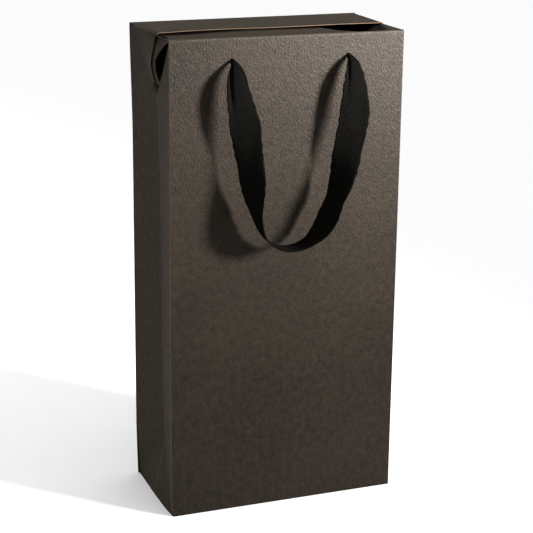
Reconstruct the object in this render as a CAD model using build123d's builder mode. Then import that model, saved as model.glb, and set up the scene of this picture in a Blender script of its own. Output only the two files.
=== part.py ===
"""Two-bottle wine gift bag: a gusseted card bag with a block bottom, a folded top and two ribbon handles.

Millimetres, +Z up, X across the front, -Y towards the front. The origin is the centre of the base.
Every panel between two creases of the card blank is one sub-part.
"""

import os
from math import radians, tan

from build123d import *

# Bag
WIDTH = 180.0
DEPTH = 90.0
HEIGHT = 360.0
CARD = 0.5  # thickness of the card
GAP = 0.3  # between layers that slide or swing past each other
GUSSET_MARGIN = 0.1  # keeps the slanting gussets' square edges inside the walls
GUSSET_PUSH = 8.0  # how far the side's middle crease is pushed in
FOOT_LIFT = 0.1  # keeps the slanting bottom triangles' square edges off the floor

# Folded top
LID_LENGTH = 52.6  # from the back's top edge to the lid's raw edge
FLAP_LENGTH = 40.0  # from the front's top edge to the flap's raw edge
TIP_CUT = 4.0  # cut off the tips of the folded-down ears
WING_NOTCH = 11.0  # how far the wing's die-cut edge bows back from the lid's corner
WING_NOTCH_DROP = 23.0  # below the lid, where that edge lies furthest back
EAR_MARGIN = 0.6  # between an ear's layers and the diagonal creases

# Glue flap and bottom
GLUE_FLAP_WIDTH = 16.0
GLUE_FLAP_END = 4.0  # short of the panel's ends
BOTTOM_TUCK_LENGTH = 42.0
BOTTOM_TUCK_TAPER = 12.0
BACK_BOTTOM_LENGTH = 55.0
FRONT_BOTTOM_LENGTH = 75.0

# Ribbon handles
HOLE_SPACING = 88.0
HOLE_DROP = 16.0  # below the bag's top
HOLE_RADIUS = 3.0
RIBBON_THICKNESS = 1.0
RIBBON_WIDTH = 23.0
RIBBON_NECK = 1.8  # width of the gathered ribbon at its hole
RIBBON_STANDOFF = 1.5  # from the card to the ribbon's turning line
LOOP_STANDOFF = 10.5  # from the card to the loop's nearest edge, at its bottom
BEND_SHARE = 0.45  # how much of a run the bend at either end of it takes up
# The hanging loop's middle line, as X and Z seen from outside the wall, from its left hole to its right one
RIBBON_ROUTE = [
    (-43.6, 344.0),
    (-43.3, 341.2),
    (-44.2, 335.8),
    (-44.6, 326.5),
    (-43.2, 312.0),
    (-40.2, 296.0),
    (-37.3, 276.0),
    (-35.2, 256.0),
    (-32.6, 237.0),
    (-27.6, 218.5),
    (-13.0, 208.3),
    (5.0, 209.6),
    (19.5, 221.5),
    (28.6, 240.0),
    (35.5, 263.0),
    (40.3, 288.0),
    (43.9, 309.0),
    (44.9, 325.0),
    (45.6, 336.0),
    (46.4, 341.2),
    (46.6, 344.0),
]
KNOT_LENGTH = 9.0
KNOT_RADIUS = 5.5
KNOT_ROUNDING = 3.0
KNOT_NECK_RADIUS = 2.4

half_w = WIDTH / 2
half_d = DEPTH / 2
inner_d = half_d - CARD
gusset_d = inner_d - GUSSET_MARGIN

# Levels of the top's layers, from the lid down
lid_under = HEIGHT - CARD
back_top = lid_under - GAP
flap_top = lid_under - GAP
flap_under = flap_top - CARD
wall_top = flap_under - GAP

# Distances of the ear's layers from the middle plane, from the outside in
wing_x = half_w
web_x = wing_x - CARD - GAP
ear_x = web_x - CARD - GAP
gusset_top_x = ear_x - CARD - GAP
crease_x = half_w - GUSSET_PUSH
crease_top = wall_top - inner_d
crease_bottom = half_d

hole_z = HEIGHT - HOLE_DROP
hole_x = HOLE_SPACING / 2

os.makedirs("parts", exist_ok=True)


def save(part, label):
    """Label one finished sub-part and write it."""
    part.label = label
    export_step(part, f"parts/{label}.step")


def sheet(plane, outline, thickness=CARD):
    """A flat panel whose face lies on a plane, with its card on the far side of it."""
    with BuildPart() as panel:
        with BuildSketch(plane):
            with BuildLine():
                Polyline(*outline, close=True)
            make_face()
        extrude(amount=-thickness)
    return panel.part


def facet(corners, side):
    """A flat panel through corners on its outer face, which looks to the left (-1) or right (+1)."""
    points = [Vector(*corner) for corner in corners]
    along = points[1] - points[0]
    outward = along.cross(points[2] - points[1])
    if outward.X * side < 0:
        outward = -outward
    face = Plane(origin=points[0], x_dir=along, z_dir=outward)
    flat = [face.to_local_coords(point) for point in points]
    return sheet(face, [(point.X, point.Y) for point in flat])


def level(top):
    """The plane of a horizontal panel whose upper face is at a height."""
    return Plane.XY.offset(top)


def wall_plane(facing):
    """The plane of the front (-1) or back (+1) wall's outer face, X to the right and Z up in it."""
    return Plane(origin=(0, facing * half_d, 0), x_dir=(-facing, 0, 0), z_dir=(0, facing, 0))


def side_plane(side, distance):
    """The plane of a layer on the left (-1) or right (+1) side, Y and Z in it."""
    return Plane(origin=(side * distance, 0, 0), x_dir=(0, side, 0), z_dir=(side, 0, 0))


def punched_wall(facing, bottom, top):
    """A front or back wall with its two handle holes."""
    with BuildPart() as wall:
        with BuildSketch(wall_plane(facing)):
            with BuildLine():
                Polyline(
                    (-half_w, bottom), (half_w, bottom), (half_w, top), (-half_w, top), close=True
                )
            make_face()
            with Locations((-hole_x, hole_z), (hole_x, hole_z)):
                Circle(HOLE_RADIUS, mode=Mode.SUBTRACT)
        extrude(amount=-CARD)
    return wall.part


def save_walls():
    """Front and back walls, and the glue flap behind the front."""
    save(punched_wall(-1, 0, wall_top), "front_panel")
    save(punched_wall(1, crease_bottom, back_top), "back_panel")
    foot = [(-half_w, 0), (half_w, 0), (half_w, crease_bottom), (-half_w, crease_bottom)]
    save(sheet(wall_plane(1), foot), "back_foot")
    seam = -half_w + CARD + GAP / 2
    inner_face = Plane(origin=(0, -inner_d, 0), x_dir=(1, 0, 0), z_dir=(0, -1, 0))
    flap = [
        (seam, GLUE_FLAP_END),
        (seam + GLUE_FLAP_WIDTH, GLUE_FLAP_END + GLUE_FLAP_WIDTH),
        (seam + GLUE_FLAP_WIDTH, wall_top - GLUE_FLAP_END - GLUE_FLAP_WIDTH),
        (seam, wall_top - GLUE_FLAP_END),
    ]
    save(sheet(inner_face, flap), "glue_flap")


def save_gusset(side, name):
    """The four facets of one side: two upright halves, a top triangle and a bottom triangle."""
    edge_x = side * half_w
    middle_x = side * crease_x
    upper = (middle_x, 0, crease_top)
    lower = (middle_x, 0, crease_bottom)
    top_x = side * gusset_top_x
    for facing, half in ((-1, "front"), (1, "rear")):
        edge_y = facing * gusset_d
        corners = [(edge_x, edge_y, 0), lower, upper, (edge_x, edge_y, wall_top)]
        save(facet(corners, side), f"{name}_gusset_{half}")
    top = [(top_x, -gusset_d, wall_top), (top_x, gusset_d, wall_top), upper]
    save(facet(top, side), f"{name}_gusset_top")
    foot = [(edge_x, -gusset_d, FOOT_LIFT), (edge_x, gusset_d, FOOT_LIFT), lower]
    save(facet(foot, side), f"{name}_gusset_foot")


def save_bottom():
    """The glued block bottom, from the outermost layer up."""
    reach = half_w - 2 * CARD
    edge = inner_d - GAP / 2
    front = [(-reach, -edge), (reach, -edge), (reach, FRONT_BOTTOM_LENGTH - edge)]
    front.append((-reach, FRONT_BOTTOM_LENGTH - edge))
    save(sheet(level(CARD), front), "front_bottom_flap")
    back = [(-reach, edge - BACK_BOTTOM_LENGTH), (reach, edge - BACK_BOTTOM_LENGTH)]
    back += [(reach, edge), (-reach, edge)]
    save(sheet(level(2 * CARD), back), "back_bottom_flap")
    for side, name in ((-1, "left"), (1, "right")):
        end = side * (reach - BOTTOM_TUCK_LENGTH)
        tuck = [
            (side * reach, -edge),
            (side * reach, edge),
            (end, edge - BOTTOM_TUCK_TAPER),
            (end, BOTTOM_TUCK_TAPER - edge),
        ]
        save(sheet(level(3 * CARD), tuck), f"{name}_bottom_tuck")


def save_lid():
    """The lid and the die-cut wings that fold down from its two ends."""
    lid_edge = half_d - LID_LENGTH
    outline = [(-half_w, lid_edge), (half_w, lid_edge), (half_w, half_d), (-half_w, half_d)]
    save(sheet(level(HEIGHT), outline), "lid_panel")
    tip_z = crease_top + TIP_CUT
    tip_y = tip_z - crease_top + EAR_MARGIN
    for side, name in ((-1, "left"), (1, "right")):
        with BuildPart() as wing:
            with BuildSketch(side_plane(side, wing_x)):
                with BuildLine():
                    diagonal = Polyline(
                        (side * (lid_edge), lid_under),
                        (side * (half_d - EAR_MARGIN), lid_under),
                        (side * tip_y, tip_z),
                        (-side * tip_y, tip_z),
                    )
                    notch = (side * (lid_edge + WING_NOTCH), lid_under - WING_NOTCH_DROP)
                    ThreePointArc(diagonal @ 1, notch, diagonal @ 0)
                make_face()
            extrude(amount=-CARD)
        save(wing.part, f"{name}_lid_wing")


def save_front_flap():
    """The flap under the lid and the webs that fold down from its two ends."""
    reach = web_x
    flap_edge = FLAP_LENGTH - half_d
    outline = [(-reach, -half_d), (reach, -half_d), (reach, flap_edge), (-reach, flap_edge)]
    save(sheet(level(flap_top), outline), "front_flap")
    tip_z = crease_top + TIP_CUT
    tip_y = crease_top - tip_z - EAR_MARGIN
    for side, name in ((-1, "left"), (1, "right")):
        web = [
            (side * (EAR_MARGIN - inner_d), flap_under),
            (side * tip_y, tip_z),
            (side * (tip_y + TIP_CUT), tip_z),
            (side * flap_edge, flap_under),
        ]
        save(sheet(side_plane(side, web_x), web), f"{name}_front_web")


def save_ears():
    """The inner triangles of the folded-down ears."""
    tip_z = crease_top + TIP_CUT
    tip_y = tip_z - crease_top - EAR_MARGIN
    end_y = inner_d - EAR_MARGIN
    for side, name in ((-1, "left"), (1, "right")):
        ear = [(-end_y, wall_top), (-tip_y, tip_z), (tip_y, tip_z), (end_y, wall_top)]
        save(sheet(side_plane(side, ear_x), ear), f"{name}_ear")


def fillet_radii(route):
    """The largest radius at each inner point of a route that leaves its runs a straight middle."""
    radii = []
    for before, point, after in zip(route, route[1:], route[2:]):
        arriving = Vector(*point) - Vector(*before)
        leaving = Vector(*after) - Vector(*point)
        turn = arriving.get_angle(leaving)
        shorter = min(arriving.length, leaving.length)
        radii.append(BEND_SHARE * shorter / tan(radians(turn / 2)))
    return radii


def save_handle(facing, name):
    """One ribbon loop that hangs outside a wall: a band, tapered in side view towards its holes."""
    radii = fillet_radii(RIBBON_ROUTE)
    print(name, "bend radii", [round(radius, 1) for radius in radii])
    turning_line = half_d + RIBBON_STANDOFF
    near_edge = half_d + LOOP_STANDOFF
    top = hole_z + RIBBON_NECK / 2
    bottom = min(z for _, z in RIBBON_ROUTE) - RIBBON_THICKNESS
    with BuildPart() as ribbon:
        with BuildSketch(wall_plane(facing)):
            with BuildLine():
                FilletPolyline(*RIBBON_ROUTE, radius=radii)
                offset(amount=RIBBON_THICKNESS / 2, side=Side.BOTH)
            make_face()
        extrude(amount=near_edge + RIBBON_WIDTH - half_d)
        with BuildSketch(Plane.YZ):
            with BuildLine():
                Polyline(
                    (facing * (turning_line - RIBBON_NECK / 2), top),
                    (facing * (turning_line + RIBBON_NECK / 2), top),
                    (facing * (near_edge + RIBBON_WIDTH), bottom),
                    (facing * near_edge, bottom),
                    close=True,
                )
            make_face()
        extrude(amount=half_w, both=True, mode=Mode.INTERSECT)
    save(ribbon.part, f"{name}_handle")


def save_knots(facing, name):
    """The knotted ribbon ends inside one wall, each with the neck that fills its hole."""
    for side, place in ((-1, "left"), (1, "right")):
        inner_face = Plane(
            origin=(side * hole_x, facing * inner_d, hole_z), x_dir=(1, 0, 0), z_dir=(0, -facing, 0)
        )
        with BuildPart() as knot:
            with BuildSketch(inner_face):
                Circle(KNOT_RADIUS)
            extrude(amount=KNOT_LENGTH)
            fillet(knot.edges().filter_by(GeomType.CIRCLE), radius=KNOT_ROUNDING)
            with BuildSketch(inner_face):
                Circle(KNOT_NECK_RADIUS)
            extrude(amount=-CARD)
        save(knot.part, f"{name}_knot_{place}")


save_walls()
save_gusset(-1, "left")
save_gusset(1, "right")
save_bottom()
save_lid()
save_front_flap()
save_ears()
for wall, wall_name in ((-1, "front"), (1, "rear")):
    save_handle(wall, wall_name)
    save_knots(wall, wall_name)
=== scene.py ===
"""Looks of the two-bottle wine gift bag: printed kraft card, folded top, herringbone ribbon handles.

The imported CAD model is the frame. Shapes are written in millimetres and become metres in the meshes.
x runs along the front wall, y from front to back and z up. A side is -1 on the left and 1 on the right,
and a wall's facing is -1 at the front and 1 at the back.
"""

import math

import bpy
import numpy as np
from mathutils import Matrix, Vector


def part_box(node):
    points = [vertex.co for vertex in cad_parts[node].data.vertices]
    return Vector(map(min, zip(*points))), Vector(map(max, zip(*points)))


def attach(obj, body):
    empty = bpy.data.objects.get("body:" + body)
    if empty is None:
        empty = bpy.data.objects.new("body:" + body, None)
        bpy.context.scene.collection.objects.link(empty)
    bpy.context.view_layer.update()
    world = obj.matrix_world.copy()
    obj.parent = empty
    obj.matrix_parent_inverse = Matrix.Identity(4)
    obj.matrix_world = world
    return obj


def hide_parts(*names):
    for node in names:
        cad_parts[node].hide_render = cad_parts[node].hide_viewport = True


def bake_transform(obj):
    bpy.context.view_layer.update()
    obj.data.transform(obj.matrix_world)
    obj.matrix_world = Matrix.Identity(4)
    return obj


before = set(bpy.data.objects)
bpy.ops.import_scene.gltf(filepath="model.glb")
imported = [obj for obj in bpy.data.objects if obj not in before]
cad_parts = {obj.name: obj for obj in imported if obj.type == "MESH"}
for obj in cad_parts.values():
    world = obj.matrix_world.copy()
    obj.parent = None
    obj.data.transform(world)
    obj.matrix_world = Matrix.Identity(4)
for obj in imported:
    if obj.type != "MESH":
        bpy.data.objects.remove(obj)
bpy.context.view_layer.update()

MM = 0.001
TINY = 1e-9

HALF_W = 90.0
HALF_D = 45.0
TOP = 360.0
CARD = 0.5
LID_CARD = 0.4  # the lid's raw edge shows as a finer line than the others
RIM = 0.08  # how far the raw edge's bare fibres show on the printed face
FOLD = 0.9  # outer radius of a sharp fold
FOOT = 0.1  # the sheets end this far above the floor
NODE_Z = 43.0  # where the side's bottom creases meet
PEAK_Z = 315.0  # where the side's top creases meet
HOLES_X = (-43.7, 45.8)  # seen from outside the wall
HOLE_Z = 343.6
HOLE_RADIUS = 1.9
PUNCH_DEPTH, PUNCH_SIDES = 8.0, 32


def smooth_step(t):
    t = np.clip(t, 0.0, 1.0)
    return t * t * (3 - 2 * t)


def soft_min(a, b, width):
    """The lower of two heights, with the corner between them rounded."""
    return (a + b - np.sqrt((a - b) ** 2 + width**2)) / 2


def soft_plus(a, width):
    """The part of a above zero, with the corner rounded."""
    return (a + np.sqrt(a * a + width * width)) / 2


def lobe(distance, width):
    """One at no distance, falling off smoothly over the width."""
    return np.exp(-((distance / width) ** 2))


def unit(vectors):
    return vectors / np.maximum(np.linalg.norm(vectors, axis=-1, keepdims=True), TINY)


def run_lengths(points):
    """How far along a line of points each one is."""
    return np.r_[0.0, np.cumsum(np.linalg.norm(np.diff(points, axis=0), axis=1))]


def smooth_line(points, steps):
    """Points evenly spaced along a smooth line through the given ones."""
    points = np.array(points, float)
    marks = run_lengths(points)
    slopes = np.gradient(points, marks, axis=0)
    line = []
    for s in np.linspace(0, marks[-1], steps):
        i = min(int(np.searchsorted(marks, s, side="right")) - 1, len(points) - 2)
        h = marks[i + 1] - marks[i]
        t = (s - marks[i]) / h
        line.append(
            (2 * t**3 - 3 * t**2 + 1) * points[i]
            + (t**3 - 2 * t**2 + t) * h * slopes[i]
            + (3 * t**2 - 2 * t**3) * points[i + 1]
            + (t**3 - t**2) * h * slopes[i + 1]
        )
    return np.array(line)


NEAR = (-3, -1.8, -1.1, -0.6, -0.25, 0, 0.25, 0.6, 1.1, 1.8, 3)  # mesh lines beside a crease, hole or edge
NEAR_GAP = 0.35  # an evenly spaced line closer than this to one of those is left out


def spaced(low, high, step, fine=()):
    """Numbers from low to high, close together near the fine ones."""
    base = np.linspace(low, high, max(2, int(round((high - low) / step)) + 1))
    extra = [f + d for f in fine for d in NEAR if low < f + d < high]
    keep = [v for v in base if v in (low, high) or all(abs(v - e) > NEAR_GAP for e in extra)]
    return np.unique(np.round(np.array(sorted(keep + extra)), 4))


# ---------------------------------------------------------------- materials


class Nodes:
    """A short way to write a node tree."""

    def __init__(self, name):
        self.material = bpy.data.materials.new(name)
        self.material.use_nodes = True
        self.tree = self.material.node_tree
        self.shader = self.tree.nodes["Principled BSDF"]

    def add(self, kind, settings=None, **inputs):
        node = self.tree.nodes.new("ShaderNode" + kind)
        for key, value in (settings or {}).items():
            setattr(node, key, value)
        for key, value in inputs.items():
            self.put(node.inputs[key.replace("_", " ")], value)
        return node

    def put(self, socket, value):
        if isinstance(value, bpy.types.NodeSocket):
            self.tree.links.new(value, socket)
        else:
            socket.default_value = value

    def shade(self, **inputs):
        """Sets the shader's sockets and gives the finished material."""
        for key, value in inputs.items():
            self.put(self.shader.inputs[key.replace("_", " ")], value)
        return self.material

    def math(self, operation, a, b=None):
        node = self.add("Math", {"operation": operation})
        for socket, value in zip(node.inputs, (a, b)):
            if value is not None:
                self.put(socket, value)
        return node.outputs[0]

    def plus(self, a, b):
        return self.math("ADD", a, b)

    def times(self, a, b):
        return self.math("MULTIPLY", a, b)

    def noise(self, vector, scale, detail=3.0, roughness=0.55, distortion=0.0):
        return self.add(
            "TexNoise",
            Vector=vector,
            Scale=scale,
            Detail=detail,
            Roughness=roughness,
            Distortion=distortion,
        ).outputs["Fac"]

    def squeeze(self, vector, along):
        """The place with its second coordinate scaled, so that a pattern on it is drawn out."""
        return self.add("Mapping", Vector=vector, Scale=(1.0, along, 1.0)).outputs[0]

    def range(self, value, low, high, to_low=0.0, to_high=1.0):
        node = self.add("MapRange")
        for socket, v in zip(node.inputs, (value, low, high, to_low, to_high)):
            self.put(socket, v)
        return node.outputs[0]

    def mix(self, factor, a, b):
        node = self.add("Mix", {"data_type": "RGBA"})
        for slot, value in ((0, factor), (6, a), (7, b)):
            self.put(node.inputs[slot], value)
        return node.outputs[2]

    def bump(self, height, distance, strength=1.0):
        return self.add("Bump", Height=height, Distance=distance, Strength=strength).outputs[0]


def colour(r, g, b):
    """An sRGB colour, 0 to 255, as the linear one that a shader takes."""
    linear = [(v / 255 / 12.92) if v <= 10 else ((v / 255 + 0.055) / 1.055) ** 2.4 for v in (r, g, b)]
    return (*linear, 1.0)


PRINT = (colour(39, 33, 26), colour(54, 47, 38))
SHADED_WIDE_PRINT = (colour(11, 9, 6), colour(32, 26, 19))  # on the front and the back: painted shade, a darker copy of the sides' print that offsets the key lamp on the front
STREAK = colour(58, 50, 41)
WORN = colour(96, 86, 73)
PRINT_TINT = (1.0, 0.88, 0.79, 1.0)  # of its sheen
PRINT_SHEEN = 0.12
WIDE_SHEEN, END_SHEEN = 0.01, -0.08  # more on the front and the back, and less on the sides
END_ROUGH = 0.2
PRINT_RELIEF = 0.00038  # reliefs, pitches and widths are in metres here
FIBRE_RELIEF = 0.00008
WEAVE_RELIEF = 0.0005
TWILL_PITCH = 0.0017
YARN_PITCH = 0.0006
COLUMN = 0.0036  # the herringbone turns back after this width
WOBBLE = 0.0005
TAPE = (colour(0, 0, 0), colour(25, 24, 21))
FLOOR = ((0.86, 0.86, 0.86, 1.0), (0.9, 0.9, 0.9, 1.0))


def printed_card(name):
    """Dark olive-brown print on smooth kraft card, dullest on the sides. The front and back get a darker copy
    of the print, painted shade that offsets the key lamp on the front.
    """
    n = Nodes(name)
    place = n.add("TexCoord")
    uv = n.add("UVMap", {"uv_map": "flat"}).outputs[0]
    facing = n.add("SeparateXYZ", Vector=place.outputs["Normal"])
    end_face, wide_face = [n.range(n.math("ABSOLUTE", facing.outputs[k]), 0.5, 0.95) for k in (0, 1)]
    streaks = n.noise(n.squeeze(uv, 0.36), 1050, 3, 0.6, 0.3)
    fine = n.noise(n.squeeze(uv, 0.6), 3200, 2, 0.5)
    blotch = n.noise(n.squeeze(uv, 0.8), 560, 5, 0.6)
    mottle = n.noise(n.squeeze(uv, 0.8), 210, 5, 0.68)
    cloud = n.noise(place.outputs["Object"], 14, 2, 0.5)
    tone = n.plus(n.times(mottle, 0.75), n.times(cloud, 0.25))
    body = n.mix(n.range(tone, 0.32, 0.68), *PRINT)
    # painted shade: faces that look to the front or the back take the darker copy of the print
    body = n.mix(wide_face, body, n.mix(n.range(tone, 0.36, 0.64), *SHADED_WIDE_PRINT))
    body = n.mix(n.range(streaks, 0.45, 0.75, 0, 0.2), body, STREAK)
    wear = n.add("Attribute", {"attribute_name": "wear"}).outputs["Fac"]
    worn = n.times(wear, n.range(fine, 0.3, 0.7, 0.35, 1.0))
    rough = n.range(n.plus(streaks, n.times(mottle, 1.2)), 0.85, 1.35, 0.46, 0.38)
    height = n.plus(n.times(streaks, 0.8), n.plus(n.times(fine, 0.25), n.times(blotch, 0.38)))
    sheen = n.plus(n.times(wide_face, WIDE_SHEEN), n.times(end_face, END_SHEEN))
    return n.shade(
        Base_Color=n.mix(n.times(worn, 0.8), body, WORN),
        Roughness=n.plus(rough, n.times(end_face, END_ROUGH)),
        Normal=n.bump(height, PRINT_RELIEF, 0.9),
        Specular_IOR_Level=n.plus(sheen, PRINT_SHEEN),
        Specular_Tint=PRINT_TINT,
    )


def bare_card(name, dark, light):
    """Unprinted card: the inside face, or the cut through it."""
    n = Nodes(name)
    place = n.add("TexCoord").outputs["Object"]
    fibre = n.noise(place, 1500, 4, 0.6)
    blotch = n.noise(place, 90, 3, 0.6)
    tone = n.plus(n.times(fibre, 0.5), n.times(blotch, 0.5))
    return n.shade(
        Base_Color=n.mix(n.range(tone, 0.3, 0.7), dark, light),
        Roughness=n.range(fibre, 0.3, 0.7, 0.78, 0.92),
        Normal=n.bump(fibre, FIBRE_RELIEF, 0.6),
        Specular_IOR_Level=0.1,
    )


def ribbon_cloth(name):
    """Black herringbone tape, woven in columns whose twill lines turn back on each other."""
    n = Nodes(name)
    uv = n.add("UVMap", {"uv_map": "flat"}).outputs[0]
    parts = n.add("SeparateXYZ", Vector=uv)
    across, along = parts.outputs[0], parts.outputs[1]
    wobble = n.times(n.noise(uv, 700, 2), WOBBLE)
    phase = n.plus(n.plus(along, n.math("PINGPONG", across, COLUMN)), wobble)
    twill = n.math("SINE", n.times(phase, 2 * math.pi / TWILL_PITCH))
    yarn = n.math("SINE", n.times(across, 2 * math.pi / YARN_PITCH))
    fuzz = n.noise(uv, 5200, 3, 0.7)
    height = n.plus(n.times(twill, 0.5), n.plus(n.times(yarn, 0.15), n.times(fuzz, 0.5)))
    return n.shade(
        Base_Color=n.mix(n.range(n.plus(twill, n.times(fuzz, 0.8)), 0.0, 1.3), *TAPE),
        Roughness=n.range(fuzz, 0.3, 0.7, 0.92, 1.0),
        Normal=n.bump(height, WEAVE_RELIEF),
        Specular_IOR_Level=0.02,
    )


def studio_floor(name):
    n = Nodes(name)
    grain = n.noise(n.add("TexCoord").outputs["Object"], 60, 3)
    return n.shade(Base_Color=n.mix(grain, *FLOOR), Roughness=n.range(grain, 0.3, 0.7, 0.8, 0.9))


PRINTED = printed_card("card_printed")
# painted shade: the unprinted inside face gets a near-black colour, so the bag's inside, seen through the gap
# under the lid, reads as deep shade
SHADED_INSIDE = bare_card("card_inside_painted_shade", colour(13, 11, 9), colour(21, 18, 15))
RAW = bare_card("card_raw_edge", colour(72, 57, 45), colour(98, 80, 64))
CLOTH = ribbon_cloth("ribbon_black")
CARD_SLOTS = (PRINTED, SHADED_INSIDE, RAW)
PRINTED_SLOT, INSIDE_SLOT, RAW_SLOT = range(3)

# ------------------------------------------------------------------- meshes


def mesh_object(name, points, faces, slots, flat, kinds=None, sharp=40.0):
    """An object of points in metres. flat gives their places on the uncut material, kinds the faces' slots."""
    mesh = bpy.data.meshes.new(name)
    mesh.from_pydata([tuple(p) for p in points], [], faces)
    for material in slots:
        mesh.materials.append(material)
    if kinds is not None:
        mesh.polygons.foreach_set("material_index", kinds)
    layer = mesh.uv_layers.new(name="flat")
    corner = np.empty(len(mesh.loops), np.int32)
    mesh.loops.foreach_get("vertex_index", corner)
    layer.data.foreach_set("uv", np.asarray(flat)[corner].astype(np.float32).reshape(-1))
    mesh.validate()
    mesh.shade_smooth()
    mesh.set_sharp_from_angle(angle=math.radians(sharp))
    mesh.update()
    obj = bpy.data.objects.new(name, mesh)
    bpy.context.scene.collection.objects.link(obj)
    return obj


def slab_faces(rows, cols, raw=(), other_diagonal=False):
    """Faces and slots of a sheet whose points are its front's rows and columns, then its back's.

    raw says which sides are cut edges: r0 and r1 the first and the last row, c0 and c1 the columns.
    other_diagonal says along which diagonal the squares bend.
    """
    faces, kinds = [], []
    top, right = rows - 1, cols - 1

    def add(corners, kind):
        faces.append([side * rows * cols + row * cols + col for row, col, side in corners])
        kinds.append(kind)

    def rim(start, end, flag):
        kind = RAW_SLOT if flag in raw else PRINTED_SLOT
        add([(*start, 0), (*end, 0), (*end, 1), (*start, 1)], kind)

    for row in range(top):
        for col in range(right):
            ring = [(row, col), (row, col + 1), (row + 1, col + 1), (row + 1, col)]
            ring = ring[1:] + ring[:1] if other_diagonal else ring
            beside = {"r0": row == 0, "r1": row == top - 1, "c0": col == 0, "c1": col == right - 1}
            bare = any(beside[flag] for flag in raw)
            add([(*place, 0) for place in ring], RAW_SLOT if bare else PRINTED_SLOT)
            add([(*place, 1) for place in reversed(ring)], INSIDE_SLOT)
        rim((row, 0), (row + 1, 0), "c0")
        rim((row + 1, right), (row, right), "c1")
    for col in range(right):
        rim((0, col + 1), (0, col), "r0")
        rim((top, col), (top, col + 1), "r1")
    return faces, kinds


def edge_bands(grid, sides):
    """The grid with a narrow row or column added beside each raw side."""
    for side in sides:
        axis = 0 if side[0] == "r" else 1
        first = side[1] == "0"
        grid = np.flip(grid, axis) if first else grid
        last, before = np.take(grid, -1, axis), np.take(grid, -2, axis)
        length = np.linalg.norm(last - before, axis=-1, keepdims=True)
        band = last + (before - last) * np.minimum(RIM / np.maximum(length, TINY), 0.5)
        grid = np.insert(grid, grid.shape[axis] - 1, band, axis)
        grid = np.flip(grid, axis) if first else grid
    return grid


def card_sheet(name, grid, raw=(), wear=None, thickness=CARD):
    """A sheet of card. grid[row][column] is its printed face, rows going up and columns to the right."""
    grid = edge_bands(np.asarray(grid, float), raw)
    rows, cols = grid.shape[:2]
    normal = unit(np.cross(np.gradient(grid, axis=1), np.gradient(grid, axis=0)))
    points = np.concatenate([grid.reshape(-1, 3), (grid - normal * thickness).reshape(-1, 3)])
    u, v = np.zeros((rows, cols)), np.zeros((rows, cols))
    u[:, 1:] = np.cumsum(np.linalg.norm(np.diff(grid, axis=1), axis=-1), axis=1)
    v[1:] = np.cumsum(np.linalg.norm(np.diff(grid, axis=0), axis=-1), axis=0)
    u -= u[:, cols // 2 : cols // 2 + 1]
    flat = np.stack([u, v], -1).reshape(-1, 2)
    faces, kinds = slab_faces(rows, cols, raw)
    obj = mesh_object(name, points * MM, faces, CARD_SLOTS, np.concatenate([flat, flat]) * MM, kinds)
    worn = obj.data.attributes.new("wear", "FLOAT", "POINT")
    if wear is not None:
        values = np.concatenate([wear(grid).reshape(-1), np.zeros(rows * cols)])
        worn.data.foreach_set("value", values.astype(np.float32))
    return obj


def cut_holes(obj, facing):
    """Punches the two handle holes through a wall."""
    for number, x in enumerate(HOLES_X):
        bpy.ops.mesh.primitive_cylinder_add(
            vertices=PUNCH_SIDES,
            radius=HOLE_RADIUS * MM,
            depth=PUNCH_DEPTH * MM,
            location=(-facing * x * MM, facing * HALF_D * MM, HOLE_Z * MM),
            rotation=(math.pi / 2, 0, 0),
        )
        cutter = bpy.context.object
        cutter.data.materials.append(RAW)
        punch = obj.modifiers.new(f"hole_{number}", "BOOLEAN")
        punch.operation = "DIFFERENCE"
        punch.solver = "EXACT"
        punch.object = cutter
        punch.material_mode = "TRANSFER"
        bpy.context.view_layer.update()
        graph = bpy.context.evaluated_depsgraph_get()
        punched = bpy.data.meshes.new_from_object(
            obj.evaluated_get(graph), preserve_all_data_layers=True, depsgraph=graph
        )
        obj.modifiers.remove(punch)
        whole = obj.data
        punched.name = whole.name + "_punched"
        obj.data = punched
        bpy.data.meshes.remove(whole)
        bpy.data.objects.remove(cutter)


def bend_top(obj):
    """Bakes a wall's placement into its mesh."""
    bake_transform(obj)


def near_fold(grid, facing):
    """One along a wall's top fold, nothing a millimetre or two from it."""
    return lobe(np.hypot(grid[..., 1] - facing * HALF_D, grid[..., 2] - TOP), 1.0)


# -------------------------------------------------------------- front sheet

FOOT_CURL, CURL_HEIGHT = 2.2, 12.0  # the front's raw left edge curls in at its foot
FLAP_EDGE = -6.9  # y of the flap's raw edge, just under the lid's
FLAP_LIFT = 0.2  # how far the flap's fold stands above the bag's top
FLAP_LEFT = ((-45, -38, -28, -18, -8, -5), (-90, -89.2, -87.2, -85.6, -83.8, -83.3))  # y, x of its left edge
FLAP_DROP, LEFT_DROP = 1.4, 0.9  # how far it slopes down, in all and near its left end
DENT_LEFT, DENT_RIGHT = 55.0, 75.0  # where it dips in right behind its fold
DENT_DEPTH, DENT_SLOPE = 12.0, 0.5
DENT_SLANT = 2.6  # to the left of there it dips in this much further back for each mm
FRONT_WARP = 0.25
FRONT_WEAR = 0.1


def left_edge(z):
    """x of the front's raw left edge."""
    return -HALF_W + FOOT_CURL * np.clip((CURL_HEIGHT - z) / CURL_HEIGHT, 0, 1) ** 2


def flap_height(x, y):
    """Height of the flap's printed face: it slopes in under the lid and dips in on the right."""
    back = y + HALF_D
    drop = FLAP_DROP * smooth_step(back / 24) * (1 - 0.9 * smooth_step((x - 70) / 18))
    left = LEFT_DROP * smooth_step((-x - 30) / 45) * smooth_step(back / 30)
    inside = soft_plus(back - soft_plus((DENT_LEFT - x) * DENT_SLANT, 2.0), 2.2)
    dent = DENT_DEPTH * (1 - np.exp(-DENT_SLOPE * np.clip(inside - 0.6, 0, None) / DENT_DEPTH))
    dent = dent * (1 - smooth_step((x - DENT_RIGHT - 0.25 * back) / 4))
    return TOP + FLAP_LIFT - drop - left - dent


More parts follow.
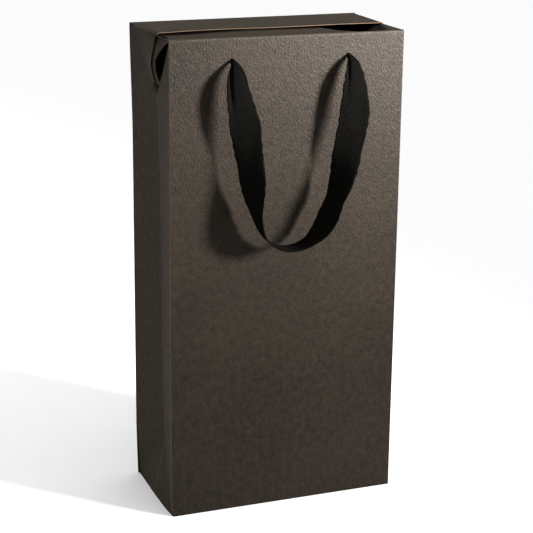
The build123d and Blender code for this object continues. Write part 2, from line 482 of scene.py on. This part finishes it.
def front_grid():
    low = np.r_[FOOT, 0.8, spaced(2.5, 12, 2.4)]
    walls = np.r_[low, spaced(16, 356, 6.0, fine=(HOLE_Z,)), 357.6, 358.8]
    coarse, close = spaced(-HALF_W, 36, 3.0, fine=(-HALF_W,)), spaced(37, HALF_W, 1.0, fine=(HALF_W,))
    across = (np.r_[coarse, close] + HALF_W) / (2 * HALF_W)
    rows = []
    for z in walls:
        x = left_edge(z) + (HALF_W - left_edge(z)) * across
        warp = FRONT_WARP * np.sin(x / 31 + z / 60) * np.sin(math.pi * z / TOP)
        y = -HALF_D - warp * np.cos(math.pi * x / (2 * HALF_W))
        rows.append(np.stack([x, y, np.full_like(x, z)], -1))
    x = -HALF_W + 2 * HALF_W * across
    for angle in np.linspace(0, math.pi / 2, 7)[1:]:
        y = np.full_like(x, -HALF_D + FOLD * (1 - math.cos(angle)))
        z = np.full_like(x, TOP + FLAP_LIFT - FOLD * (1 - math.sin(angle)))
        rows.append(np.stack([x, y, z], -1))
    for y in spaced(-HALF_D + FOLD + 0.8, FLAP_EDGE, 1.6):
        left = np.interp(y, *FLAP_LEFT)
        x = left + (HALF_W - 0.4 * smooth_step((y + HALF_D) / 6) - left) * across
        rows.append(np.stack([x, np.full_like(x, y), flap_height(x, y)], -1))
    return np.array(rows)


def front_wear(grid):
    return FRONT_WEAR * near_fold(grid, -1)


front = card_sheet("front_sheet", front_grid(), raw=("r1", "c0"), wear=front_wear)
cut_holes(front, -1)
bend_top(front)
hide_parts("front_panel", "front_flap")

# --------------------------------------------------------------- back sheet

BACK_Y = (  # z, y of the back wall: it bellies out, and its foot leans in below the bottom crease
    (0, 5, 20, NODE_Z - 3, NODE_Z, 90, 220, 300, 340, TOP),
    (43.0, 43.6, 45.0, 46.3, 46.5, 46.5, 46.6, 46.4, 46.2, 46.2),
)
# x, height above the bag's top of the lid's raw edge and of its back fold
LID_EDGE_RISE = ((-90, -82, -68, -37, -6, 26, 58, 88), (0.0, 0.1, 0.7, 1.0, 0.7, 0.7, 1.0, 0.7))
LID_BACK_RISE = ((-HALF_W, HALF_W), (0.9, 1.3))
LEAN_OUT = 1.6  # of the left rear corner, at the bag's top
BACK_END = 42.0  # y where the back's sheet ends, under the lid's
BACK_WEAR = 0.6


def back_y(z):
    return np.interp(z, *BACK_Y)


def lid_rise(x):
    return np.interp(x, *LID_EDGE_RISE), np.interp(x, *LID_BACK_RISE)


def flare(side, z):
    """The back edge leans out a little towards the bag's top, on the left."""
    return LEAN_OUT * smooth_step((z - 270) / 95) if side < 0 else 0.0


def back_grid():
    low = np.r_[FOOT, spaced(2.5, 30, 4), spaced(33, 50, 2, fine=(NODE_Z,))]
    walls = np.r_[low, spaced(56, 356, 6, fine=(HOLE_Z,)), 358.2]
    across = spaced(-HALF_W, HALF_W, 3.0, fine=(-HALF_W, HALF_W))[::-1]
    top_rise = lid_rise(across)[1]
    rows = []

    def row(y, z, rise=0.0):
        x = across - flare(-1, z) * (HALF_W - across) / (2 * HALF_W)
        rows.append(np.stack([x, np.full_like(x, y), np.full_like(x, z) + rise], -1))

    for z in walls:
        row(back_y(z), z)
    for angle in np.linspace(0, math.pi / 2, 7):
        row(back_y(TOP) - FOLD * (1 - math.cos(angle)), TOP, top_rise - FOLD * (1 - math.sin(angle)))
    row(BACK_END, TOP, top_rise)
    return np.array(rows)


def back_wear(grid):
    return BACK_WEAR * near_fold(grid, 1)


back = card_sheet("back_sheet", back_grid(), wear=back_wear)
cut_holes(back, 1)
bend_top(back)
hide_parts("back_panel", "back_foot")

# -------------------------------------------------------------- side gussets

MID_PUSH = (  # z, how far the side's middle crease is pushed in
    (0, 5.5, 21, 35, 39, NODE_Z, 93, 158, 205, 250, 288, 301, 316, TOP),
    (9.1, 9.1, 9.1, 9.1, 9.1, 9.1, 8.4, 8.1, 7.7, 7.2, 6.4, 5.9, 4.9, 3.5),
)
FOOT_PUSH = 9.1
REAR_LEAN = 1.2
POCKET = {-1: 13.0, 1: 7.0}  # depth of the open pocket at the side's top, in its front half
POCKET_BOW = 3.0
SHELF, REAR_SHELF = 2.6, 3.4
MIDDLE_WEAR, LEVEL_WEAR, SLANT_WEAR = 0.7, 0.35, 0.075
CORNER_LIFT = 0.5  # closes the side's top rear corner


def gusset_push(side, q, z):
    """How far the side is pushed in. q runs from -1 at the front edge to 1 at the back one."""
    tent = np.interp(z, *MID_PUSH) * (1 - soft_plus(np.abs(q), 0.02) + 0.01)
    push = np.where(z < NODE_Z + 6, soft_min(tent, FOOT_PUSH * z / NODE_Z, 0.25), tent)
    lean = REAR_LEAN * np.clip(1 - z / NODE_Z, 0, 1) * np.clip(q, 0, 1)
    above = HALF_D * (1 - np.abs(q)) - (TOP - z)
    bow = np.sin(math.pi * np.clip((z - PEAK_Z) / (TOP - PEAK_Z), 0, 1)) * (q < 0)
    above = np.clip(soft_plus(above + POCKET_BOW * bow - 0.8, 0.6) - 0.05, 0, None)
    pocket = POCKET[side] * (1 - np.exp(-above / 7)) * smooth_step((TOP - 1 - z) / 5)
    shelf = SHELF * (1 - np.exp(-above / 3))
    rear = REAR_SHELF * (1 - np.exp(-above / 2))
    front_part = smooth_step((0.2 - q) / 0.4)
    top = front_part * (pocket + shelf) + (1 - front_part) * rear
    return push + lean + np.where(z > PEAK_Z - 3, top, 0)


def gusset_row(side, q, z):
    """Points across the side. Its edges stay just inside the walls and the front's curled foot."""
    y = q * np.where(q < 0, HALF_D - 0.02, back_y(z) - 0.02)
    inset = np.where(q < 0, q**8 * (left_edge(z) + HALF_W), 0) if side < 0 else 0.0
    out = flare(side, z) * np.clip(q, 0, 1)
    return np.stack([side * (HALF_W - gusset_push(side, q, z) - inset + out), y, np.full_like(y, z)], -1)


def gusset_wear(grid):
    """Scored creases: the middle one, and the ones that meet it above the foot."""
    y, z = grid[..., 1], grid[..., 2]
    middle = lobe(y, 0.7) * smooth_step((PEAK_Z + 3 - z) / 6)
    level = lobe(z - NODE_Z, 0.5) * (y > 0)
    slant = lobe((HALF_D - np.abs(y)) * NODE_Z / HALF_D - z, 0.6) * (z < NODE_Z)
    return np.clip(MIDDLE_WEAR * middle + LEVEL_WEAR * level + SLANT_WEAR * slant, 0, 1)


def gusset(side, label):
    low = np.r_[FOOT, spaced(1, 50, 1.5, fine=(NODE_Z,))]
    heights = np.r_[low, spaced(55, 305, 5), spaced(307, 359, 1.0)]
    q = side * spaced(-HALF_D, HALF_D, 1.25, fine=(0,)) / HALF_D
    grid = np.array([gusset_row(side, q, z) for z in heights])
    grid[-1, :, 2] += (CORNER_LIFT + lid_rise(side * HALF_W)[1]) * smooth_step((q - 0.85) / 0.15)
    obj = card_sheet(f"{label}_gusset_sheet", grid, wear=gusset_wear)
    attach(obj, "carton")
    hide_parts(*[f"{label}_gusset_{part}" for part in ("top", "front", "rear", "foot")])


SIDES = ((-1, "left"), (1, "right"))
for side, label in SIDES:
    gusset(side, label)

# ---------------------------------------------------------------- lid sheet

WING_EDGE = {  # each wing's raw front edge, from the lid's corner down to its tip
    -1: [
        (-81.7, -7.6, 360.3),
        (-84.6, -7.6, 360.3),
        (-86.9, -7.6, 359.5),
        (-88.4, -7.6, 357.4),
        (-89.3, -7.4, 354.4),
        (-89.8, -7.2, 350.9),
        (-91.2, -6.2, 343.5),
        (-91.6, -5.7, 339.2),
        (-90.9, -5.4, 333.4),
        (-89.2, -4.9, 326.6),
        (-87.4, -3.2, 321.8),
    ],
    1: [
        (88.6, -7.7, 360.9),
        (90.1, -7.7, 360.6),
        (90.9, -7.7, 359.6),
        (91.0, -7.6, 356.5),
        (90.7, -7.2, 352.0),
        (91.0, -6.4, 345.0),
        (90.8, -5.6, 338.0),
        (89.8, -5.2, 331.0),
        (88.4, -4.6, 325.5),
        (87.4, -3.2, 321.8),
    ],
}
WING_STEPS = 26
LID_FRONT = -7.65  # y of the lid's raw edge
LID_REAR = 42.6  # y where the lid's own sheet begins, just ahead of its back fold
LID_WEAR = 0.35


def side_tent(y, z):
    """How far the side's back half is pushed in, carried on past the middle crease."""
    return np.interp(z, *MID_PUSH) * (1 - y / HALF_D)


def wing_curves(side):
    """Front and rear curves of a wing, from the lid's face down to the cut tip."""
    edge = smooth_line(WING_EDGE[side], WING_STEPS)
    start = abs(edge[0][0])
    corner = HALF_W + flare(side, TOP)
    fold = int(np.argmax(edge[:, 2] < TOP - 2.0))
    rear = []
    for i, (_, _, z) in enumerate(edge):
        if i < fold:
            t = i / fold
            x = side * (start + (corner - start) * min(1.0, t * 1.15))
            rise = lid_rise(x)[1] * (1 - smooth_step((t - 0.6) / 0.4))
            rear.append((x, LID_REAR - 0.3 * t, TOP + rise - 0.6 * smooth_step((t - 0.8) / 0.2)))
        else:
            y = min(LID_REAR - 0.3, HALF_D - (TOP - z) + 1.5)
            out = flare(side, z) * y / HALF_D
            rear.append((side * (HALF_W - side_tent(y, z) + out + 0.1), y, z))
    return edge, np.array(rear)


def wing_row(side, edge, rear, t):
    """The wing leaves the side's plane gently, and only swells out to its raw edge at the end."""
    line = rear * (1 - t) + edge * t
    out = np.abs(edge[:, 0]) - (HALF_W - side_tent(edge[:, 1], edge[:, 2]))
    line[:, 0] += side * out * (t * t - t) * smooth_step((TOP - edge[:, 2]) / 8)
    return line


def lid_grid():
    left, right = wing_curves(-1), wing_curves(1)
    across = spaced(left[0][0][0], right[0][0][0], 3.0)[1:-1][::-1]
    edge_rise, back_rise = lid_rise(across)
    rows = []
    for t in np.r_[0, 0.02, spaced(0.06, 0.94, 0.04), 0.98, 1.0]:
        y = np.full_like(across, LID_REAR + (LID_FRONT - LID_REAR) * t)
        z = TOP + edge_rise * smooth_step(t) * t + back_rise * (1 - smooth_step(t))
        middle = np.stack([across, y, z], -1)
        rows.append(np.concatenate([wing_row(1, *right, t)[::-1], middle, wing_row(-1, *left, t)]))
    return np.array(rows)


def lid_wear(grid):
    """The print rubbed along the folds between the lid and its wings."""
    return LID_WEAR * lobe(np.hypot(np.abs(grid[..., 0]) - HALF_W, grid[..., 2] - TOP), 1.2)


lid = card_sheet("lid_sheet", lid_grid(), raw=("r1", "c0", "c1"), wear=lid_wear, thickness=LID_CARD)
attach(lid, "lid")
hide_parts("lid_panel", "left_lid_wing", "right_lid_wing")

# --------------------------------------------------------- webs of the flap

WEB_FOLD = [  # the left web's folded front edge, from the flap's corner down to the side's middle crease
    (-89.7, -44.6, 358.9),
    (-90.1, -40.7, 358.2),
    (-90.3, -29.1, 352.6),
    (-91.0, -14.7, 338.6),
    (-89.4, -13.2, 331.6),
    (-86.6, -12.6, 324.9),
    (-85.6, -13.4, 322.9),
]
WEB_BACK = [  # and its rear edge, hidden behind the wing
    (-89.5, -44.2, 358.9),
    (-88.2, -34.0, 358.8),
    (-86.3, -18.0, 358.6),
    (-86.0, -4.0, 357.4),
    (-88.8, -2.0, 346.0),
    (-90.1, -1.5, 338.0),
    (-88.6, -1.0, 328.0),
    (-86.6, -2.0, 322.6),
]
RIGHT_FOLD_X, RIGHT_BACK_X = 89.6, 88.6  # the right web is the left one turned over, held in to these
WEB_STEPS, WEB_COLUMNS = 48, 14


def web(side, label):
    fold, hidden = smooth_line(WEB_FOLD, WEB_STEPS), smooth_line(WEB_BACK, WEB_STEPS)
    across = np.linspace(0, 1, WEB_COLUMNS)
    if side < 0:
        across = across[::-1]
    else:
        fold[:, 0] = np.minimum(-fold[:, 0], RIGHT_FOLD_X)
        hidden[:, 0] = np.minimum(-hidden[:, 0], RIGHT_BACK_X)
    grid = np.array([[f * (1 - t) + h * t for t in across] for f, h in zip(fold, hidden)])[::-1]
    obj = card_sheet(f"{label}_web_sheet", grid, raw=("r0",))
    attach(obj, "front_flap")
    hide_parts(f"{label}_front_web")


for side, label in SIDES:
    web(side, label)

# ---------------------------------------------------------------------- ears

EAR_CLEAR = 0.85  # between the ear and the side that it lies behind
EAR_TOP_PUSH = 1.85
EAR_MARGIN = 1.8
EAR_COLUMNS = 61


def ear(side, label):
    """The side's extension above its diagonal creases, turned down inside the bag."""
    q = side * np.linspace(-1, 1, EAR_COLUMNS)
    rows = []
    for z in np.r_[spaced(320, 357, 1.5), 358.0, 358.4]:
        y = q * (HALF_D - (TOP - z) - EAR_MARGIN)
        push = gusset_push(side, y / HALF_D, z) - EAR_CLEAR
        push = push + (EAR_TOP_PUSH - push) * smooth_step((z - 356.6) / 1.8)
        rows.append(np.stack([side * (HALF_W - push), y, np.full_like(y, z)], -1))
    obj = card_sheet(f"{label}_ear_sheet", np.array(rows))
    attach(obj, f"{label}_ear")
    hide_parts(f"{label}_ear")


for side, label in SIDES:
    ear(side, label)

# ------------------------------------------------------------------- ribbons

RIBBON_ROUTE = [  # the same points as the CAD ribbon's, for the front handle
    (-43.6, -46.2, 344.0),
    (-43.3, -50.5, 341.8),
    (-44.2, -56.0, 336.0),
    (-44.6, -60.8, 326.5),
    (-43.2, -63.8, 312.0),
    (-40.2, -65.0, 296.0),
    (-36.9, -65.2, 276.0),
    (-34.8, -65.2, 256.0),
    (-32.6, -65.7, 237.0),
    (-27.6, -66.6, 218.5),
    (-13.0, -67.0, 208.3),
    (5.0, -67.0, 209.6),
    (19.5, -66.6, 221.5),
    (28.6, -65.7, 240.0),
    (35.5, -65.2, 263.0),
    (40.3, -65.0, 288.0),
    (43.9, -64.2, 309.0),
    (44.9, -61.0, 325.0),
    (45.6, -56.0, 336.0),
    (46.2, -50.5, 341.8),
    (45.8, -46.2, 344.0),
]
RIBBON_WIDTH = 21.6
RIBBON_THICK = 0.9
RIBBON_STEPS, RIBBON_COLUMNS = 260, 41
# How the ribbon is turned about its length on each arm: heights, degrees
LEFT_TURN = ((206, 222, 239, 256, 273, 301, 321, 344), (98, 94, 80, 58, 43, 25, 17, 15))
RIGHT_TURN = (
    (207, 212, 218, 227, 234, 240, 256, 276, 302, 321, 344),
    (98, 95, 84, 70, 69, 74, 58, 43, 25, 17, 15),
)
TURN_BLUR = 9  # points over which the turn is evened out
# The ribbon is gathered at its hole: distances along it from there, widths
GATHER = ((0, 4, 9, 17, 26, 37, 48), (2.8, 5.4, 9.4, 13.8, 17.2, 20.0, RIBBON_WIDTH))
VALLEY_LEFT, VALLEY_RIGHT = 2.8, 1.4  # depth of the fold along the gathered ribbon, on each arm
VALLEY_PLACE, VALLEY_WIDTH = -0.62, 0.17  # across the ribbon, in half widths
ARCH = 1.5
SAG = 0.5
RIPPLE, SLOW_RIPPLE = 0.28, 0.35  # of the woven edges
EDGE_TAPER, EDGE_THIN = 0.06, 0.35  # the edges thin to this share of the thickness


def nurbs_points(points):
    """Points read from the smooth NURBS line that the control points make."""
    curve = bpy.data.curves.new("route", "CURVE")
    curve.dimensions = "3D"
    curve.resolution_u = 16
    spline = curve.splines.new("NURBS")
    spline.points.add(len(points) - 1)
    for point, place in zip(spline.points, points):
        point.co = (*place, 1.0)
    spline.order_u = 3
    spline.use_endpoint_u = True
    holder = bpy.data.objects.new("route", curve)
    mesh = bpy.data.meshes.new_from_object(holder)
    line = np.array([tuple(v.co) for v in mesh.vertices])
    bpy.data.meshes.remove(mesh)
    bpy.data.objects.remove(holder)
    bpy.data.curves.remove(curve)
    return line


def even_points(line, steps):
    marks = run_lengths(line)
    fine = np.linspace(0, marks[-1], steps)
    return np.stack([np.interp(fine, marks, line[:, k]) for k in range(3)], -1), fine


def ribbon_turns(line):
    lowest = int(np.argmin(line[:, 2])) + 1
    turns = np.r_[np.interp(line[:lowest, 2], *LEFT_TURN), np.interp(line[lowest:, 2], *RIGHT_TURN)]
    return np.convolve(np.pad(turns, TURN_BLUR // 2, "edge"), np.ones(TURN_BLUR) / TURN_BLUR, "valid")


def ribbon_section(across, s, length, outward):
    """How far out from the ribbon's middle its points at s along it are, and how far off its flat face."""
    from_hole = min(s, length - s)
    half = np.interp(from_hole, *GATHER) / 2
    loose = min(1.0, half / 8)
    fold = smooth_step(1 - (from_hole - 4) / 46)
    depth = VALLEY_LEFT if s < length / 2 else VALLEY_RIGHT
    valley = -lobe(across - VALLEY_PLACE, VALLEY_WIDTH) * min(depth, half * 0.6)
    arch = ARCH * (1 - ((across - 0.25) / 1.25) ** 2) * min(1.0, half / 6)
    ripple = RIPPLE * np.sin(s / 1.9 + 2 * np.sin(s / 5.3)) + SLOW_RIPPLE * np.sin(s / 7.1 + across)
    sag = SAG * np.sin(s / 9.7 + 1.7 * across) * across**2 * loose
    out = across * (half + ripple * np.abs(across) ** 3 * loose)
    return out, fold * (valley + arch) * outward + sag


def ribbon(facing, label):
    """A hanging ribbon handle, gathered where it goes through the card, with its middle line and length."""
    line, marks = even_points(nurbs_points(RIBBON_ROUTE), RIBBON_STEPS)
    turns = np.radians(ribbon_turns(line))
    tangent = unit(np.gradient(line, axis=0))
    wide = np.stack([np.cos(turns), -np.sin(turns), np.zeros_like(turns)], -1)
    wide = unit(wide - tangent * np.sum(wide * tangent, axis=1, keepdims=True))
    face = np.cross(tangent, wide)
    across = np.linspace(-1, 1, RIBBON_COLUMNS)
    half_thick = np.clip((1 - np.abs(across)) / EDGE_TAPER, EDGE_THIN, 1) * RIBBON_THICK / 2
    under, over = [], []
    for place, w, f, s in zip(line, wide, face, marks):
        out, off = ribbon_section(across, s, marks[-1], -1.0 if f[1] > 0 else 1.0)
        middle = place + np.outer(out, w) + np.outer(off, f)
        under.append(middle - np.outer(half_thick, f))
        over.append(middle + np.outer(half_thick, f))
    points = np.concatenate(under + over)
    u, v = np.meshgrid((across + 1) / 2 * RIBBON_WIDTH, marks)
    flat = np.concatenate([np.stack([u, v], -1).reshape(-1, 2)] * 2) * MM
    turn = np.array([-facing, -facing, 1.0]) * MM
    faces, _ = slab_faces(RIBBON_STEPS, RIBBON_COLUMNS, other_diagonal=True)
    obj = mesh_object(label, points * turn, faces, (CLOTH,), flat, sharp=60)
    return obj, line * turn, marks[-1] * MM


KNOT_STEPS, KNOT_SIDES = 120, 12
KNOT_SPREAD = (0.115, 0.2, 0.115)  # of its strand's middle line, as a share of its CAD solid's box
STRAND_WIDE, STRAND_THICK, STRAND_FOLD = 2.1, 1.3, 0.12
STRAND_RUN, STRAND_ROUND = 0.6, 2.4  # length of tape along the strand for a step, and round it for a radian


def knot(label):
    """An overhand knot of the gathered ribbon, inside the wall."""
    low, high = (np.array(corner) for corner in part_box(label))
    t = np.linspace(0, 2 * math.pi, KNOT_STEPS + 1)[:-1]
    ring = np.linspace(0, 2 * math.pi, KNOT_SIDES + 1)[:-1]
    loop = np.stack([np.sin(t) + 2 * np.sin(2 * t), -1.3 * np.sin(3 * t), np.cos(t) - 2 * np.cos(2 * t)], -1)
    loop *= (high - low) * KNOT_SPREAD
    tangent = unit(np.roll(loop, -1, 0) - np.roll(loop, 1, 0))
    flatwise = unit(np.cross(tangent, unit(loop)))
    normal = np.cross(flatwise, tangent)
    points, flat, faces = [], [], []
    for i in range(KNOT_STEPS):
        here, after = i * KNOT_SIDES, (i + 1) % KNOT_STEPS * KNOT_SIDES
        for j, a in enumerate(ring):
            fold = (1 + STRAND_FOLD * math.cos(5 * a)) * MM
            wide, thick = STRAND_WIDE * fold * math.cos(a), STRAND_THICK * fold * math.sin(a)
            points.append(loop[i] + flatwise[i] * wide + normal[i] * thick)
            flat.append((a * STRAND_ROUND * MM, i * STRAND_RUN * MM))
            k = (j + 1) % KNOT_SIDES
            faces.append([here + j, after + j, after + k, here + k])
    obj = mesh_object(label + "_tied", np.array(points) + (low + high) / 2, faces, (CLOTH,), flat, sharp=80)
    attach(obj, "carton")
    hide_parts(label)
    return obj


for facing, wall in ((-1, "front"), (1, "rear")):
    knots = [knot(f"{wall}_knot_{end}") for end in ("left", "right")]
    strap, path, length = ribbon(facing, f"{wall}_ribbon")
    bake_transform(strap)
    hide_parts(f"{wall}_handle")

# ------------------------------------------- card that the CAD model carries

for name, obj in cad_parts.items():
    if not obj.hide_render:
        obj.data.materials.clear()
        # the CAD parts inside the bag take the near-black inside colour, which is painted shade
        obj.data.materials.append(PRINTED if "foot" in name else SHADED_INSIDE)

# -------------------------------------------------------------------- studio

FLOOR_REACH = 14.0
KEY_PLACE, KEY_TARGET = Vector((0.62, -0.68, 0.44)), Vector((0.13, -0.045, 0.37))
KEY_SIZE, KEY_POWER, KEY_SPREAD = 0.16, 6.1, 60
SKY = (0.45, 0.85, 0.1, 1.9)  # the sky brightens between two heights, from one strength to another
LENS = 107.294
CAMERA_PLACE = (-0.424932, -1.090285, 0.523295)
CAMERA_AXES = (  # the camera's right, its up, and the way back from what it looks at
    (0.93235997, -0.36135209, 0.01138253),
    (0.09263051, 0.26920139, 0.9586189),
    (-0.34946313, -0.89272352, 0.28446482),
)

scene = bpy.context.scene
mesh = bpy.data.meshes.new("floor")
corners = [(x * FLOOR_REACH, y * FLOOR_REACH, 0) for x, y in ((-1, -1), (1, -1), (1, 1), (-1, 1))]
mesh.from_pydata(corners, [], [(0, 1, 2, 3)])
mesh.materials.append(studio_floor("floor_pale"))
floor = bpy.data.objects.new("floor", mesh)
scene.collection.objects.link(floor)

lamp = bpy.data.lights.new("key", "AREA")
lamp.shape = "RECTANGLE"
lamp.size = lamp.size_y = KEY_SIZE
lamp.energy = KEY_POWER
lamp.spread = math.radians(KEY_SPREAD)
key = bpy.data.objects.new("key", lamp)
key.location = KEY_PLACE
key.rotation_euler = (KEY_TARGET - KEY_PLACE).to_track_quat("-Z", "Y").to_euler()
scene.collection.objects.link(key)

scene.world = bpy.data.worlds.new("studio")
scene.world.use_nodes = True
tree = scene.world.node_tree
direction = tree.nodes.new("ShaderNodeTexCoord")
parts = tree.nodes.new("ShaderNodeSeparateXYZ")
tree.links.new(direction.outputs["Generated"], parts.inputs[0])
ceiling = tree.nodes.new("ShaderNodeMapRange")
ceiling.interpolation_type = "SMOOTHSTEP"
tree.links.new(parts.outputs[2], ceiling.inputs[0])
for socket, value in zip(ceiling.inputs[1:5], SKY):
    socket.default_value = value
tree.links.new(ceiling.outputs[0], tree.nodes["Background"].inputs[1])
tree.nodes["Background"].inputs[0].default_value = (1.0, 1.0, 1.0, 1.0)
scene.view_settings.view_transform = "Standard"

camera_data = bpy.data.cameras.new("camera")
camera_data.sensor_width = 36.0
camera_data.lens = LENS
camera_data.clip_start = 0.05
camera_data.clip_end = 30.0
camera = bpy.data.objects.new("camera", camera_data)
camera.matrix_world = Matrix([*zip(*CAMERA_AXES, CAMERA_PLACE), (0, 0, 0, 1)])
scene.collection.objects.link(camera)
scene.camera = camera
